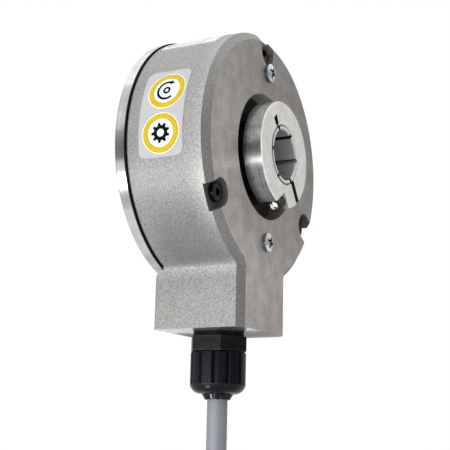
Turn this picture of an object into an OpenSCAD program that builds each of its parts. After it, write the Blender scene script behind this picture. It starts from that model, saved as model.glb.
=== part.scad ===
// Hollow-shaft optical rotary encoder with a clamp ring at the front and a
// square terminal leg that carries a cable gland.  Millimetres.
// Origin: shaft axis where it meets the machined front face.
// +Y runs along the shaft to the rear, +Z is up, the cable leaves along -Z.

/* [Housing] */
// Outside diameter of the cast barrel
housing_d = 100; // [99:0.5:101]
// Half width of the terminal leg
leg_half_w = 19.8; // [19.4:0.1:20.2]
// Depth of the leg's underside below the shaft axis
leg_drop = 70; // [69:0.5:72]
// Radius of the round opening in the front face
opening_r = 25.4; // [25:0.1:26]

/* [Shaft] */
// Bore of the hollow shaft
bore_d = 20; // [18:0.5:20.5]
// Outside diameter of the clamp ring
ring_d = 42.5; // [42:0.1:43]
// How far the clamp ring stands in front of the face
ring_len = 8; // [7.5:0.25:9]

/* [Disc] */
// Outside diameter of the code disc
disc_d = 62; // [61:0.5:62.5]

/* [Cable] */
// Distance from the shaft axis down to the jacket's cut end
jacket_end = 150; // [125:5:240]

/* [Hidden] */
R = housing_d/2;
Ro = R - 4.5;                 // inside of the barrel wall
hw = leg_half_w;
ld = leg_drop;
rf = 3;                       // fillet between barrel and leg
fc = [-(hw+rf), -sqrt((R+rf)*(R+rf)-(hw+rf)*(hw+rf))];
fl = (R+rf);
pocket_a = [90.6, 211, 330];  // cover screw pockets
pocket_r = [5.4, 5.4, 5.6];   // their radii
pocket_c = [43.8, 44, 43];    // radius their centres lie on
pocket_d = [3.7, 3.7, 4.9];   // their depths
screw_r = 43.8;               // cover screws' radius
stud_a = [60, 180, 300];      // board standoffs
gy = 20;                      // gland axis
gz = -ld;                     // leg underside
sa = 305.5;                   // split of the clamp ring
b1 = 11.35;                   // front bearing start
b2 = 21.45;                   // rear bearing start
nb = 15;                      // balls per bearing

alu = [0.66, 0.66, 0.66];
turned = [0.82, 0.82, 0.82];
steel = [0.72, 0.73, 0.76];
zinc = [0.78, 0.82, 0.88];
black = [0.08, 0.08, 0.09];
brass = [0.75, 0.62, 0.30];
green = [0.05, 0.32, 0.16];

// ---- helpers ----
module yr() { rotate([-90, 0, 0]) children(); }
module at(deg, r = 0) { rotate([0, -deg, 0]) translate([r, 0, 0]) children(); }
module ycyl(r, y0, y1, fn = 48) { translate([0, y0, 0]) yr() cylinder(r = r, h = y1 - y0, $fn = fn); }
module ring(r0, r1, y0, y1, fn = 96) { yr() rotate_extrude($fn = fn) translate([r0, y0]) square([r1 - r0, y1 - y0]); }
module slab(y0, y1) { translate([0, y1, 0]) rotate([90, 0, 0]) linear_extrude(y1 - y0) children(); }
module zcyl(r, z0, z1, fn = 48) { translate([0, gy, z0]) cylinder(r = r, h = z1 - z0, $fn = fn); }
module ztube(r0, r1, z0, z1, fn = 48) { translate([0, gy, 0]) rotate_extrude($fn = fn) translate([r0, z0]) square([r1 - r0, z1 - z0]); }
module seg(p, q, r) {
  d = q - p; L = norm(d);
  translate(p) rotate([0, acos(d[2]/L), atan2(d[1], d[0])]) cylinder(r = r, h = L, $fn = 20);
}

// ---- cast housing ----
module fillet_fill(s) {
  T = fc/fl;
  B = T*(R - 0.17);
  E = T*(R - 3.7);
  D = [-hw + 0.1, fc[1] - 0.3];
  mirror([s, 0, 0]) difference() {
    slab(0, 34.4) polygon([[-15, -40], E, B, D, [-15, fc[1] - 0.3]]);
    translate([fc[0], 0, fc[1]]) {
      ycyl(rf + 0.15, 2, 40, 64);
      translate([0, -0.5, 0]) yr() cylinder(r1 = rf + 0.15 + 3*1.2, r2 = rf + 0.15, h = 3, $fn = 64);
    }
  }
}
module cavity() difference() {
  yr() rotate_extrude($fn = 160) polygon([
    [0, -1], [opening_r, -1], [opening_r, 7], [18.52, 7], [18.52, 10.7], [17.3, 10.7], [17.3, 11.3],
    [18.52, 11.3], [18.52, 29.35], [19.4, 29.35], [19.4, 30.4], [18.52, 30.4], [18.52, 31], [22.3, 31],
    [22.3, 10.5], [28.5, 10.5], [30, 7], [Ro, 7], [Ro, 45], [0, 45]]);
  for (a = pocket_a) at(a, screw_r) ycyl(4.6, 0, 50);
  for (a = [90, 270]) at(a, 35) ycyl(4.6, 0, 11);
}
module housing() color(alu) difference() {
  union() {
    yr() rotate_extrude($fn = 160) polygon([[0, 0], [R - 3, 0], [R, 2.5], [R, 34.4], [0, 34.4]]);
    translate([0, 0, -ld]) linear_extrude(ld - 40) polygon([
      [-hw, 2.5], [-hw + 3, 0], [hw - 3, 0], [hw, 2.5], [hw, 37.4], [hw - 0.9, 38.3],
      [-hw + 0.9, 38.3], [-hw, 37.4]]);
    fillet_fill(0);
    fillet_fill(1);
  }
  cavity();
  yr() rotate_extrude($fn = 160) polygon([[0, 34.4], [R + 0.9, 34.4], [R + 0.9, 36], [R + 4.2, 39], [0, 39]]);
  translate([-15.5, 7.6, -65]) cube([31, 23.4, 25.5]);
  for (i = [0:2]) at(pocket_a[i]) {
    translate([pocket_c[i], 0, 0]) ycyl(pocket_r[i], -1, pocket_d[i]);
    translate([pocket_c[i], -1, 0.1 - pocket_r[i]]) cube([14, pocket_d[i] + 1, 2*pocket_r[i] - 0.2]);
    translate([screw_r, 0, 0]) ycyl(2.2, 3, 40);
  }
  for (a = [90, 270]) at(a, 35) ycyl(2.02, -1, 9.5);
  for (a = stud_a) at(a, 34.5) ycyl(1.52, 3.5, 8);
  zcyl(8, gz - 1, gz + 9);
}

module rear_cover() color(turned) difference() {
  yr() rotate_extrude($fn = 160) polygon([
    [18.02, 35.8], [21, 35.8], [21, 37.6], [40.5, 37.6], [40.5, 35.02], [R + 0.3, 35.02],
    [R + 0.3, 39.1], [R - 0.2, 39.6], [18.02, 39.6]]);
  for (a = pocket_a) at(a, screw_r) ycyl(2.03, 34, 38.7);
}
module cover_gasket() color(black) difference() {
  union() {
    ring(Ro, R + 0.55, 34.42, 35, 160);
    for (a = pocket_a) at(a, screw_r) ycyl(4.6, 34.42, 35);
  }
  for (a = pocket_a) at(a, screw_r) ycyl(2.2, 34, 36);
}
module cover_screws() color(black) for (i = [0:2]) at(pocket_a[i], screw_r) difference() {
  d = pocket_d[i] - 2.1;
  union() {
    yr() rotate_extrude($fn = 48) polygon([[0, d], [3.25, d], [3.6, d + 0.35], [3.6, d + 2.08], [0, d + 2.08]]);
    ycyl(2, d + 1.9, 38.4);
  }
  translate([0, d - 1, 0]) yr() cylinder(r = 1.75, h = 2.4, $fn = 6);
}
module torque_arm_screws() color(zinc) for (a = [90, 270]) at(a, 35) difference() {
  union() {
    intersection() {
      translate([0, 5.7, 0]) sphere(r = 8.2, $fn = 96);
      ycyl(3.75, -2.6, -0.02);
    }
    ycyl(2, -0.1, 9);
  }
  yr() translate([0, 0, -2.7]) cylinder(r1 = 1.35, r2 = 0.7, h = 2, $fn = 32);
  for (t = [20, 110]) rotate([0, t, 0]) translate([-2.3, -2.7, -0.48]) cube([4.6, 1.5, 0.96]);
}

// ---- seals, bearings, spacers ----
module front_seal() color(black) yr() rotate_extrude($fn = 96) polygon([
  [13.05, 8.5], [14.3, 7.5], [14.8, 7.05], [18.5, 7.05], [18.5, 10.65], [17.4, 10.65],
  [17.4, 8.5], [15.2, 8.5], [14.3, 9.5], [13.05, 9.3]]);
module rear_seal() color(black) yr() rotate_extrude($fn = 96) polygon([
  [12.55, 37.4], [14, 36.9], [14.6, 36], [15.2, 36], [15.2, 38.3], [17.2, 38.3], [17.2, 36],
  [18, 36], [18, 39.3], [14.8, 39.3], [12.55, 38.2]]);
module race_out(y) color(steel) yr() rotate_extrude($fn = 96) difference() {
  translate([16.4, y]) square([2.1, 7]);
  translate([15.5, y + 3.5]) circle(r = 1.86, $fn = 48);
  translate([16, y - 0.1]) square([1, 0.6]);
  translate([16, y + 6.5]) square([1, 0.6]);
}
module race_in(y) color(steel) yr() rotate_extrude($fn = 96) difference() {
  translate([12.51, y]) square([2.09, 7]);
  translate([15.5, y + 3.5]) circle(r = 1.86, $fn = 48);
}
module shields(y) color(turned) { ring(14.75, 16.95, y + 0.08, y + 0.4); ring(14.75, 16.95, y + 6.6, y + 6.92); }
module balls(y) color(steel) for (i = [0:nb - 1]) at(i*360/nb, 15.5) translate([0, y + 3.5, 0]) sphere(r = 1.8, $fn = 24);
module cage(y) color(brass) difference() {
  ring(14.9, 16.1, y + 0.85, y + 6.15);
  for (i = [0:nb - 1]) at(i*360/nb) translate([13, y + 3.5, 0]) rotate([0, 90, 0]) cylinder(r = 1.9, h = 5, $fn = 32);
}
module front_bearing_outer_race() race_out(b1);
module rear_bearing_outer_race() race_out(b2);
module front_bearing_inner_race() race_in(b1);
module rear_bearing_inner_race() race_in(b2);
module front_bearing_shields() shields(b1);
module rear_bearing_shields() shields(b2);
module front_bearing_balls() balls(b1);
module rear_bearing_balls() balls(b2);
module front_bearing_cage() cage(b1);
module rear_bearing_cage() cage(b2);
module bearing_outer_spacer() color(alu) ring(17, 18.48, 18.38, 21.42);
module bearing_inner_spacer() color(alu) ring(12.52, 14, 18.38, 21.42);
module wave_spring() color(steel) ring(17, 18.4, 28.52, 29.25);
module bearing_circlip() color(black) difference() {
  union() { ring(17.1, 19.3, 29.42, 30.3); for (s = [-1, 1]) at(90 + s*14, 17.7) ycyl(1.6, 29.42, 30.3, 24); }
  slab(29, 31) polygon([[0, 10], [4, 22], [-4, 22]]);
  for (s = [-1, 1]) at(90 + s*14, 17.7) ycyl(0.7, 29, 31, 24);
}

// ---- shaft and clamp ----
module hollow_shaft() color(turned) difference() {
  yr() rotate_extrude($fn = 128) polygon([
    [bore_d/2, -ring_len + 0.4], [bore_d/2 + 0.4, -ring_len], [11.35, -ring_len], [12, -ring_len + 0.6], [12, 2], [13, 2], [13, 11.3],
    [12.49, 11.3], [12.49, 34.58], [11.75, 34.58], [11.75, 35.64], [12.49, 35.64],
    [12.49, 40], [12.1, 40.4], [bore_d/2, 40.4]]);
  for (a = [0:60:300]) at(a) translate([5, -ring_len - 1, -0.8]) cube([10, ring_len + 2.5, 1.6]);
}
module clamp_ring() color(turned) difference() {
  yr() rotate_extrude($fn = 128) polygon([
    [12.03, -ring_len + 0.3], [12.3, -ring_len], [ring_d/2 - 0.4, -ring_len], [ring_d/2, -ring_len + 0.4], [ring_d/2, -0.3],
    [ring_d/2 - 0.3, 0], [12.03, 0]]);
  at(sa) {
    translate([10, -20, -1.1]) cube([20, 30, 2.85]);
    // hinge slit: wide outside, a narrow saw cut into the bore
    slab(-20, 10) polygon([[-11, -0.6], [-12.8, -0.6], [-12.8, -1.1], [-16.1, -1.25], [-16.6, 1.9],
      [-12.8, 1.55], [-12.8, 0.6], [-11, 0.6]]);
    translate([12.5, -20, -30]) cube([20, 30, 21]);
    translate([16.1, -4, -12]) cylinder(r = 2.2, h = 12, $fn = 32);
    translate([16.1, -4, 0]) cylinder(r = 2.05, h = 24, $fn = 32);
  }
}
module clamp_screw() color(steel) at(sa) translate([16.1, -4, 0]) difference() {
  union() {
    rotate_extrude($fn = 48) polygon([[0, -13], [3.15, -13], [3.5, -12.65], [3.5, -9.04], [0, -9.04]]);
    translate([0, 0, -9.2]) cylinder(r = 2, h = 18.2, $fn = 32);
  }
  translate([0, 0, -14]) cylinder(r = 1.74, h = 3.2, $fn = 6);
}

// ---- disc stack ----
module disc_holes(r) for (a = [45:90:315]) at(a, 17) ycyl(r, 30, 36, 24);
module disc_hub() color(alu) difference() {
  yr() rotate_extrude($fn = 96) polygon([[12.52, 28.5], [15.5, 28.5], [15.5, 31.3], [20, 31.3], [20, 32.5], [12.52, 32.5]]);
  disc_holes(0.97);
}
module code_disc() color([0.6, 0.75, 0.8, 0.5]) difference() { ring(12.9, disc_d/2, 32.52, 33.5, 128); disc_holes(1.1); }
module disc_clamp_plate() color(turned) difference() { ring(12.6, 19.5, 33.52, 34.52); disc_holes(1); }
module disc_screws() color(steel) for (a = [45:90:315]) at(a, 17) difference() {
  union() { ycyl(1.75, 34.54, 35.4, 24); ycyl(0.95, 31.6, 34.8, 24); }
  translate([-2, 35.1, -0.2]) cube([4, 1, 0.4]);
}
module shaft_circlip() color(black) difference() {
  union() { ring(11.8, 14.2, 34.6, 35.6); for (s = [-1, 1]) at(s*14, 13.7) ycyl(1.2, 34.6, 35.6, 24); }
  slab(34, 36) polygon([[9, 0], [16, 2.2], [16, -2.2]]);
  for (s = [-1, 1]) at(s*14, 13.7) ycyl(0.5, 34, 36, 24);
}

// ---- optical reader ----
module reader_frame() color(black) difference() {
  union() {
    translate([-9, 21.62, -37.5]) cube([18, 15.58, 14.1]);
    translate([8.5, 21.62, -33]) cube([4.5, 2, 6]);
    translate([-13, 21.62, -33]) cube([4.5, 2, 6]);
  }
  translate([-10, 31.9, -31.9]) cube([20, 2.2, 9]);
  translate([-8.1, 21, -36.6]) cube([16.2, 9.32, 12.3]);
  translate([-4.2, 30, -31.2]) cube([8.4, 3, 6.4]);
  at(270, 28) ycyl(2.55, 34, 38);
  for (s = [-1, 1]) translate([s*11, 0, -30]) ycyl(1.1, 21, 24, 24);
  for (s = [-1, 1]) translate([s*6.3, 0, -34.6]) ycyl(0.82, 30, 31.6, 24);
}
module reader_led() color([0.75, 0.2, 0.2]) at(270, 28) { ycyl(2.5, 36.2, 37.15, 32); ycyl(1.9, 35.5, 36.3, 32); }
module reader_lens() color([0.8, 0.9, 0.95, 0.5]) at(270, 28) {
  ycyl(2.5, 34.15, 34.72, 32);
  intersection() { translate([0, 31.3, 0]) sphere(r = 4, $fn = 48); ycyl(2.6, 34.6, 36, 32); }
}
module reader_mask() color([0.5, 0.6, 0.6, 0.5]) translate([-4.1, 31.3, -31.1]) cube([8.2, 0.5, 6.2]);
module sensor_board() color(green) difference() {
  translate([-8, 28.7, -36.5]) cube([16, 1.6, 12.1]);
  for (s = [-1, 1]) translate([s*6.3, 0, -34.6]) ycyl(0.9, 28, 31, 24);
}
module sensor_chip() color(black) translate([-3, 30.32, -31]) cube([6, 0.9, 6]);
module sensor_pins() color(brass) for (i = [-2:2]) translate([i*2, 0, -25.6]) ycyl(0.3, 21.62, 28.68, 16);
module reader_screws() color(steel) {
  for (s = [-1, 1]) translate([s*11, 0, -30]) { ycyl(1.8, 23.64, 24.8, 24); ycyl(0.95, 18, 24, 24); }
  for (s = [-1, 1]) translate([s*6.3, 0, -34.6]) { ycyl(1.4, 27.8, 28.68, 24); ycyl(0.78, 28.4, 31.3, 24); }
}
module reader_nuts() color(steel) for (s = [-1, 1]) translate([s*11, 18.3, -30]) difference() {
  yr() cylinder(r = 2.3, h = 1.68, $fn = 6);
  ycyl(0.97, -1, 3, 24);
}

// ---- electronics ----
module main_board() color(green) difference() {
  ring(23.2, 38.8, 20, 21.6, 128);
  for (a = stud_a) at(a, 34.5) ycyl(1.6, 19, 23, 24);
  for (s = [-1, 1]) translate([s*11, 0, -30]) ycyl(1.1, 19, 23, 24);
}
module board_chips() color(black) {
  at(90, 31) translate([-4.5, 21.62, -4.5]) cube([9, 1.4, 9]);
  at(35, 31) translate([-2.5, 21.62, -3]) cube([5, 1.5, 6]);
  at(140, 31) translate([-2.5, 21.62, -3]) cube([5, 1.5, 6]);
  at(218, 31) translate([-2.5, 21.62, -3]) cube([5, 1.5, 6]);
}
module board_capacitors() color([0.55, 0.57, 0.62]) for (a = [12, 112, 196]) at(a, 31) ycyl(2.5, 21.62, 27.5, 32);
module board_connector() color([0.9, 0.9, 0.86]) difference() {
  translate([-7, 14, -38.5]) cube([14, 5.98, 7]);
  translate([-6.2, 14.9, -39]) cube([12.4, 4.2, 6]);
}
module board_standoffs() color(brass) for (a = stud_a) at(a, 34.5) difference() {
  union() {
    translate([0, 7.02, 0]) yr() cylinder(r = 3.1, h = 12.96, $fn = 6);
    ycyl(1.5, 3.7, 7.5, 24);
  }
  ycyl(1.27, 12, 21, 24);
}
module board_screws() color(steel) for (a = stud_a) at(a, 34.5) difference() {
  union() { ycyl(2.6, 21.62, 23.2, 32); ycyl(1.25, 13, 22, 24); }
  translate([-3, 22.6, -0.35]) cube([6, 1, 0.7]);
}
module wire_plug() color([0.85, 0.85, 0.8]) difference() {
  translate([-6.1, 15, -41]) cube([12.2, 4, 7.9]);
  for (i = [-2:2]) translate([i*2.2, 17, -42]) cylinder(r = 0.66, h = 6, $fn = 20);
}
module core(i, a) {
  p0 = [i*2.2, 17, -36.2];
  p1 = [i*2.2, 17, -45];
  p2 = [1.5*cos(a), gy + 1.5*sin(a), -56];
  p3 = [p2[0], p2[1], -jacket_end - 15];
  seg(p1, p0, 0.6); seg(p1, p2, 0.6); seg(p3, p2, 0.6);
  translate(p1) sphere(r = 0.66, $fn = 20);
  translate(p2) sphere(r = 0.66, $fn = 20);
}
module wire_brown() color([0.35, 0.2, 0.1]) core(-2, 162);
module wire_green() color([0.1, 0.5, 0.2]) core(-1, 234);
module wire_white() color([0.9, 0.9, 0.9]) core(0, 90);
module wire_yellow() color([0.9, 0.8, 0.1]) core(1, 306);
module wire_red() color([0.75, 0.1, 0.1]) core(2, 18);

// ---- cable and gland ----
module cable_shield() color(steel) ztube(2.35, 2.75, -jacket_end - 6, -57);
module cable_jacket() color([0.55, 0.57, 0.6]) ztube(2.85, 4, -jacket_end, -58);
module gland_body() color(black) difference() {
  union() {
    zcyl(7.95, gz - 1.72, gz + 8.4);
    translate([0, gy, gz - 7.4]) rotate([0, 0, 32]) cylinder(r = 12.12, h = 5.7, $fn = 6);
    zcyl(8.6, gz - 14, gz - 7.3);
  }
  zcyl(4.6, gz - 20, gz + 12);
  zcyl(6.55, gz - 15, gz - 4);
}
module gland_o_ring() color(black) ztube(8, 10, gz - 1.68, gz - 0.02, 64);
module gland_seal() color(black) ztube(4.03, 5.7, gz - 15.9, gz - 4.2);
module gland_claw_cage() color(black) difference() {
  translate([0, gy, gz]) rotate_extrude($fn = 48) polygon([
    [5.76, -4.1], [6.5, -4.1], [6.5, -18], [6.05, -18.6], [6.05, -24.1], [5, -26], [4.15, -26], [4.15, -16], [5.76, -16]]);
  for (i = [0:4]) translate([0, gy, gz - 28]) rotate([0, 0, i*36 + 10]) translate([-8, -0.4, 0]) cube([16, 0.8, 17]);
}
module gland_nut() color(black) difference() {
  translate([0, gy, gz]) rotate_extrude($fn = 96) polygon([
    [8.65, -7.6], [10.5, -7.6], [10.9, -8], [10.9, -20.3], [10.75, -21], [10.35, -21.8], [9.7, -22.6],
    [8.8, -23.3], [7.8, -23.7], [6.8, -23.9], [6.15, -23.9], [6.15, -22], [8.65, -18.5]]);
  for (i = [0:11]) translate([0, gy, gz - 20.1]) rotate([0, 0, i*30 + 18.5]) translate([11.5, 0, 0]) cylinder(r = 1.1, h = 13.5, $fn = 20);
}

// ---- labels ----
module type_label() color([0.85, 0.86, 0.88]) intersection() {
  ring(R + 0.02, R + 0.12, 7, 33.5, 160);
  slab(0, 40) polygon([[0, 0], [51*sin(39.5), 51*cos(39.5)], [34, 60], [-34, 60], [-51*sin(39.5), 51*cos(39.5)]]);
}
module instruction_label() color([0.75, 0.76, 0.82]) intersection() {
  ring(R + 0.02, R + 0.14, 8, 31, 160);
  at(171, 30) rotate([0, 90, 0]) linear_extrude(30) {
    // a rounded rectangle, tangential by axial
    union() {
      translate([-15.3, 10]) square([30.6, 19]);
      translate([-18.3, 13]) square([36.6, 13]);
      for (x = [-15.35, 15.35]) for (y = [13.05, 25.95]) translate([x, y]) circle(r = 3, $fn = 32);
    }
  }
}

housing();
rear_cover();
cover_gasket();
cover_screws();
torque_arm_screws();
front_seal();
rear_seal();
front_bearing_outer_race();
rear_bearing_outer_race();
front_bearing_shields();
rear_bearing_shields();
bearing_outer_spacer();
wave_spring();
bearing_circlip();
reader_frame();
reader_led();
reader_lens();
reader_mask();
sensor_board();
sensor_chip();
sensor_pins();
reader_screws();
reader_nuts();
main_board();
board_chips();
board_capacitors();
board_connector();
board_standoffs();
board_screws();
wire_plug();
wire_brown();
wire_green();
wire_white();
wire_yellow();
wire_red();
cable_shield();
cable_jacket();
gland_body();
gland_o_ring();
gland_seal();
gland_claw_cage();
type_label();
instruction_label();
hollow_shaft();
clamp_ring();
front_bearing_inner_race();
rear_bearing_inner_race();
bearing_inner_spacer();
disc_hub();
code_disc();
disc_clamp_plate();
disc_screws();
shaft_circlip();
clamp_screw();
front_bearing_balls();
front_bearing_cage();
rear_bearing_balls();
rear_bearing_cage();
gland_nut();
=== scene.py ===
import math

import bpy
from mathutils import Matrix, Vector


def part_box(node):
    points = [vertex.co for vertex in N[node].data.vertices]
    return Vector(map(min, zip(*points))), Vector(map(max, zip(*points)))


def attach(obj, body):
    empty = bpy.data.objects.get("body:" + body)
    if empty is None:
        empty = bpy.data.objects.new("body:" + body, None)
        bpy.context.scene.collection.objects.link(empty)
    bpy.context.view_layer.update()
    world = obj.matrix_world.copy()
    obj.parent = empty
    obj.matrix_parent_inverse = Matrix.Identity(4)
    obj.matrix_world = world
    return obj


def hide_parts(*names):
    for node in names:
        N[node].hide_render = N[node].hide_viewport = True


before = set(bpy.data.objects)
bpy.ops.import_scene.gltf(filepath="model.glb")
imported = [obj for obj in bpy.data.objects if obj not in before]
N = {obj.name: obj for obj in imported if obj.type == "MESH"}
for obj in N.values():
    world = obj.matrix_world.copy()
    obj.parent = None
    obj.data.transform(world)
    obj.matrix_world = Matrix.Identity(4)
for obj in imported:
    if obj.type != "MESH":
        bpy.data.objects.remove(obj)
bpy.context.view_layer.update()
MM = 0.001
scene = bpy.context.scene


# ---------------------------------------------------------------- materials
def new_mat(name):
    m = bpy.data.materials.new(name)
    m.use_nodes = True
    nt = m.node_tree
    for n in list(nt.nodes):
        nt.nodes.remove(n)
    out = nt.nodes.new("ShaderNodeOutputMaterial")
    p = nt.nodes.new("ShaderNodeBsdfPrincipled")
    nt.links.new(p.outputs[0], out.inputs[0])
    return m, nt, p


def srgb(r, g, b):
    f = lambda c: (c / 255 / 12.92) if c <= 10.3 else ((c / 255 + 0.055) / 1.055) ** 2.4
    return (f(r), f(g), f(b), 1.0)


def coords(nt, scale=(1, 1, 1)):
    tc = nt.nodes.new("ShaderNodeTexCoord")
    mp = nt.nodes.new("ShaderNodeMapping")
    mp.inputs["Scale"].default_value = scale
    nt.links.new(tc.outputs["Object"], mp.inputs["Vector"])
    return mp.outputs[0]


def noise(nt, vec, scale, detail=2.0, rough=0.5):
    n = nt.nodes.new("ShaderNodeTexNoise")
    n.inputs["Scale"].default_value = scale
    n.inputs["Detail"].default_value = detail
    n.inputs["Roughness"].default_value = rough
    nt.links.new(vec, n.inputs["Vector"])
    return n.outputs["Fac"]


def ramp(nt, fac, stops):
    r = nt.nodes.new("ShaderNodeValToRGB")
    e = r.color_ramp.elements
    while len(e) > len(stops):
        e.remove(e[-1])
    while len(e) < len(stops):
        e.new(0.5)
    for i, (pos, col) in enumerate(stops):
        e[i].position = pos
        e[i].color = col if len(col) == 4 else (*col, 1)
    nt.links.new(fac, r.inputs["Fac"])
    return r.outputs["Color"]


def bump(nt, p, height, strength, dist, normal=None):
    b = nt.nodes.new("ShaderNodeBump")
    b.inputs["Strength"].default_value = strength
    b.inputs["Distance"].default_value = dist
    nt.links.new(height, b.inputs["Height"])
    if normal is not None:
        nt.links.new(normal, b.inputs["Normal"])
    nt.links.new(b.outputs["Normal"], p.inputs["Normal"])
    return b.outputs["Normal"]


def mixc(nt, fac, a, b, mode="MIX"):
    m = nt.nodes.new("ShaderNodeMix")
    m.data_type = "RGBA"
    m.blend_type = mode
    for inp, val in ((m.inputs[0], fac), (m.inputs[6], a), (m.inputs[7], b)):
        if isinstance(val, (int, float)):
            inp.default_value = val
        elif isinstance(val, tuple):
            inp.default_value = val
        else:
            nt.links.new(val, inp)
    return m.outputs[2]


def math_node(nt, op, a, b=None, c=None):
    m = nt.nodes.new("ShaderNodeMath")
    m.operation = op
    for i, v in enumerate((a, b, c)):
        if v is None:
            continue
        if isinstance(v, (int, float)):
            m.inputs[i].default_value = v
        else:
            nt.links.new(v, m.inputs[i])
    return m.outputs[0]


def bevel(nt, radius=0.0003):
    b = nt.nodes.new("ShaderNodeBevel")
    b.samples = 6
    b.inputs["Radius"].default_value = radius
    return b.outputs["Normal"]


def lerp(c, k):
    return tuple(min(1.0, max(0.0, v * k)) for v in c[:3])


def vary(nt, p, vec, base, amount, scale, detail=3.0, lo=0.35, hi=0.65):
    """Uneven colour: a noise that darkens and lightens the base by the stated share."""
    g = noise(nt, vec, scale, detail, 0.6)
    nt.links.new(ramp(nt, g, [(lo, lerp(base, 1 - amount)), (hi, lerp(base, 1 + amount))]), p.inputs["Base Color"])
    return g


def vary_rough(nt, p, g, rough, spread):
    nt.links.new(math_node(nt, "MULTIPLY_ADD", g, spread * 2, rough - spread), p.inputs["Roughness"])


def cast_mat(name, base, contrast=0.34, metallic=0.35, rough=0.5, grain=0.00016, strength=0.6, scale=2700, edge=0.0,
             barrel=False, painted_light_z=None):
    """Blasted casting: fine sparkling grain in colour and relief over soft large patches, with optional painted light
    and shade.
    """
    m, nt, p = new_mat(name)
    vec = coords(nt)
    g1 = noise(nt, vec, scale, 1.0, 0.5)
    g2 = noise(nt, vec, scale * 0.55, 1.0, 0.5)
    big = noise(nt, vec, 42, 2.0, 0.5)
    mid = noise(nt, vec, 210, 2.0, 0.5)
    g = math_node(nt, "ADD", math_node(nt, "MULTIPLY", g1, 0.65), math_node(nt, "MULTIPLY", g2, 0.35))
    col = ramp(nt, g, [(0.36, lerp(base, 1 - contrast)), (0.5, lerp(base, 1)), (0.64, lerp(base, 1 + contrast))])
    shade = ramp(nt, big, [(0.3, (0.945, 0.94, 0.93)), (0.7, (1.045, 1.045, 1.05))])
    col = mixc(nt, 1.0, col, shade, "MULTIPLY")
    col = mixc(nt, 1.0, col, ramp(nt, mid, [(0.3, (0.98, 0.98, 0.98)), (0.7, (1.02, 1.02, 1.02))]), "MULTIPLY")
    # painted light and shade: the colour is scaled by height
    if painted_light_z:
        col = mixc(nt, 1.0, col, z_ramp(nt, painted_light_z), "MULTIPLY")
    if barrel:
        # painted light: a painted shadow line in the seam at the cover joint, painted shade in the corner above the
        # leg over the front of the barrel, and a painted highlight band along the leg's shoulder with a slightly
        # darker strip just below it
        r, t, y = polar_coords(nt)
        on_barrel = math_node(nt, "LESS_THAN", r, 0.05012)
        painted_seam_shadow = ramp(nt, math_node(nt, "MULTIPLY", y, 20.0), [(0.674, (1, 1, 1)), (0.682, (0.03, 0.03, 0.03))])
        col = mixc(nt, on_barrel, col, mixc(nt, 1.0, col, painted_seam_shadow, "MULTIPLY"))
        low = mixc(nt, 1.0, col, z_ramp(nt, [(-0.060, 1.02), (-0.0515, 0.93), (-0.0488, 1.20), (-0.0472, 1.36), (-0.0458, 1.10), (-0.0438, 0.76),
                                             (-0.035, 0.76), (-0.022, 0.97), (-0.015, 1.0)]), "MULTIPLY")
        rear = mixc(nt, 1.0, col, z_ramp(nt, [(-0.060, 1.02), (-0.0515, 0.93), (-0.0488, 1.20), (-0.0472, 1.34), (-0.0458, 1.20), (-0.0438, 1.0)]), "MULTIPLY")
        back = ramp(nt, math_node(nt, "MULTIPLY", y, 20.0), [(0.50, (0, 0, 0)), (0.66, (1, 1, 1))])
        col = mixc(nt, back, low, rear)
    if edge:
        # the round part is brighter towards its front edge, and on the left side a painted highlight runs along that
        # front strip
        r, t, y = polar_coords(nt)
        near = ramp(nt, math_node(nt, "MULTIPLY", y, 50.0), [(0.10, (1 + edge,) * 3), (0.30, (1 + edge * 0.35,) * 3), (0.62, (1, 1, 1))])
        on_barrel = math_node(nt, "LESS_THAN", r, 0.0503)
        col = mixc(nt, on_barrel, col, mixc(nt, 1.0, col, near, "MULTIPLY"))
        shine = z_ramp(nt, [(-0.047, 0.5), (-0.038, 0.56), (-0.029, 0.74), (-0.021, 0.70), (-0.013, 0.57), (0.0, 0.54), (0.02, 0.5)])
        shine = mixc(nt, 1.0, shine, (2.0, 2.0, 2.0, 1.0), "MULTIPLY")
        strip = ramp(nt, math_node(nt, "MULTIPLY", y, 50.0), [(0.20, (1, 1, 1)), (0.52, (0, 0, 0))])
        left = math_node(nt, "LESS_THAN", axis_ramp(nt, "X", [(-0.05, 0.0), (0.05, 1.0)]), 0.5)
        amount = math_node(nt, "MULTIPLY", math_node(nt, "MULTIPLY", strip, left), on_barrel)
        col = mixc(nt, amount, col, mixc(nt, 1.0, col, shine, "MULTIPLY"))
    nt.links.new(col, p.inputs["Base Color"])
    p.inputs["Metallic"].default_value = metallic
    vary_rough(nt, p, g1, rough, 0.12)
    bump(nt, p, g, strength, grain, bevel(nt, 0.0004))
    return m


def axis_ramp(nt, axis, stops):
    """A grey factor that follows one coordinate: stops are (metres, factor)."""
    tc = nt.nodes.new("ShaderNodeTexCoord")
    s = nt.nodes.new("ShaderNodeSeparateXYZ")
    nt.links.new(tc.outputs["Object"], s.inputs[0])
    lo, hi = stops[0][0], stops[-1][0]
    mr = nt.nodes.new("ShaderNodeMapRange")
    mr.inputs["From Min"].default_value = lo
    mr.inputs["From Max"].default_value = hi
    nt.links.new(s.outputs["XYZ".index(axis)], mr.inputs["Value"])
    return ramp(nt, mr.outputs[0], [((z - lo) / (hi - lo), (k, k, k)) for z, k in stops])


def z_ramp(nt, stops):
    return axis_ramp(nt, "Z", stops)


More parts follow.
